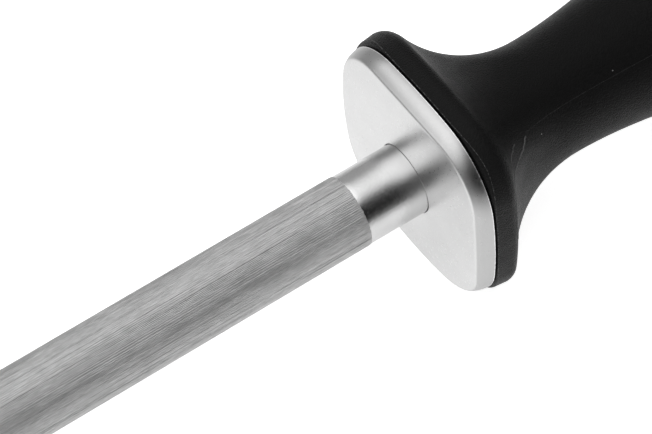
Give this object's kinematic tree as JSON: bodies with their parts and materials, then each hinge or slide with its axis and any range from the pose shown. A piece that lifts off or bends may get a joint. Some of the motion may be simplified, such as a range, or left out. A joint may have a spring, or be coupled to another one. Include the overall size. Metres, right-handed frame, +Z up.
{
  "type": "knife sharpening steel",
  "caption": "Butcher's sharpening steel: round grooved rod with a smooth neck, square steel guard plate, black flared handle and a swivelling hanging ring.",
  "frame": {"origin": "where the rod's axis meets the front face of the guard plate", "axes": "+X along the rod to its tip, +Z up with the steel lying on one side of its guard, and the guard's four sides facing +Y, -Y, +Z and -Z"},
  "size_m": [0.392, 0.0418, 0.0443],
  "materials": {
    "rod_steel": "hard chromed, fine lengthwise grooves",
    "plate_steel": "satin",
    "black_plastic": "fine spark-eroded texture",
    "zinc_steel": "zinc plated",
    "fitting_steel": "polished"
  },
  "bodies": {
    "steel": {"steel_rod": "rod_steel", "guard_plate": "plate_steel", "handle": "black_plastic", "tang_washer": "zinc_steel", "tang_nut": "zinc_steel", "butt_cap": "plate_steel"},
    "swivel": {"swivel_eye": "fitting_steel", "swivel_collar": "zinc_steel"},
    "ring": {"hanging_ring": "fitting_steel"}
  },
  "joints": [
    {"name": "swivel_turn", "type": "hinge", "parent": "steel", "child": "swivel", "pos_m": [-0.1309, 0, 0], "axis": [1, 0, 0], "continuous": true},
    {"name": "ring_swing", "type": "hinge", "parent": "swivel", "child": "ring", "pos_m": [-0.1372, 0, 0], "axis": [0, 1, 0], "range_deg": [-22, 202]}
  ]
}
